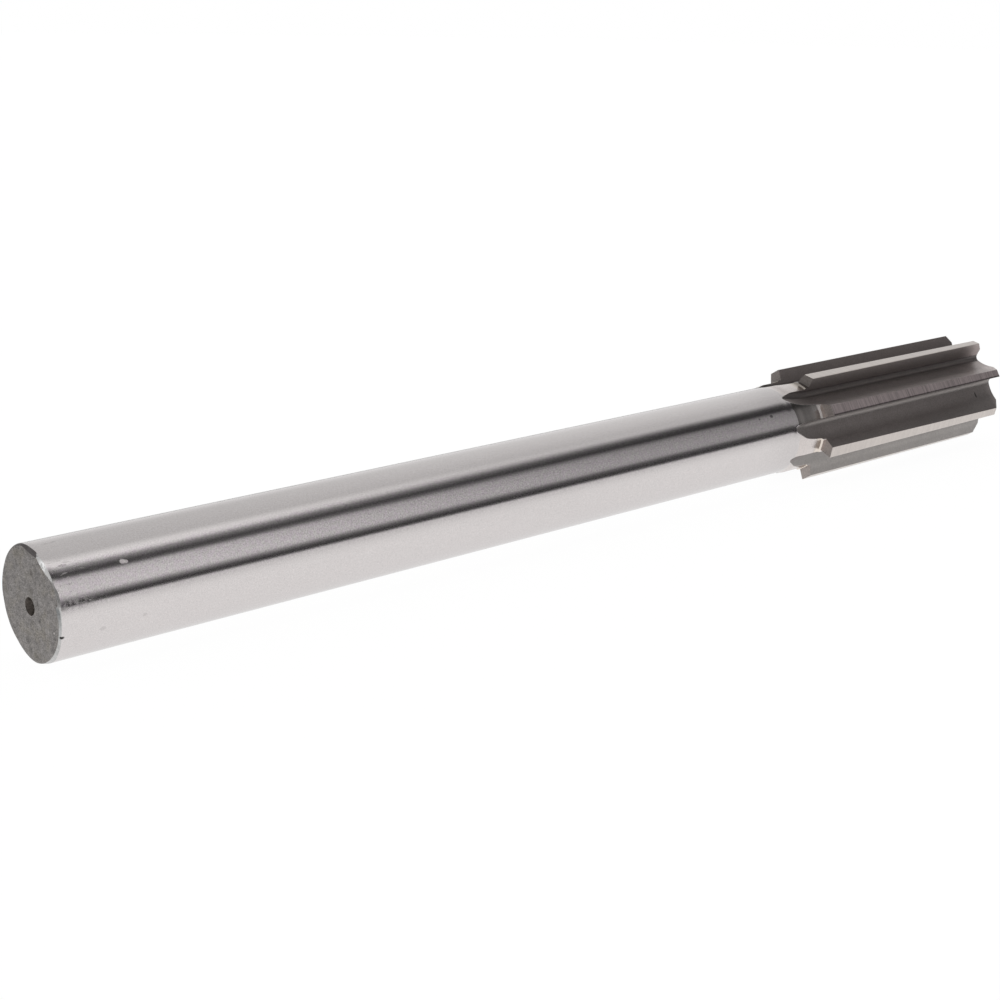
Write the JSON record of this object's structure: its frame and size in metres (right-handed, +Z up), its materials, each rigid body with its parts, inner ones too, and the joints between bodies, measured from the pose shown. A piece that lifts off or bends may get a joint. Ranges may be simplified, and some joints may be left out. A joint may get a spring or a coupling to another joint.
{
  "type": "machine reamer",
  "caption": "Straight-shank machine reamer: a long plain ground shank, a short turned collar and a straight-fluted cutting head with a 45 degree lead, for finishing round holes.",
  "frame": {"origin": "bottom centre of the reamer's bounding box, on the flat surface that it lies on", "axes": "+X along the tool from the shank end to the cutting tip, +Z up; the axis itself rises 0.69 degrees towards the tip because the head is thicker than the shank"},
  "size_m": [0.2522, 0.0234, 0.0242],
  "materials": {
    "steel": "ground bright on the shank and lands, satin milled grey in the flutes, dull grey on the end face"
  },
  "bodies": {
    "root": {"reamer": "steel"}
  },
  "joints": []
}
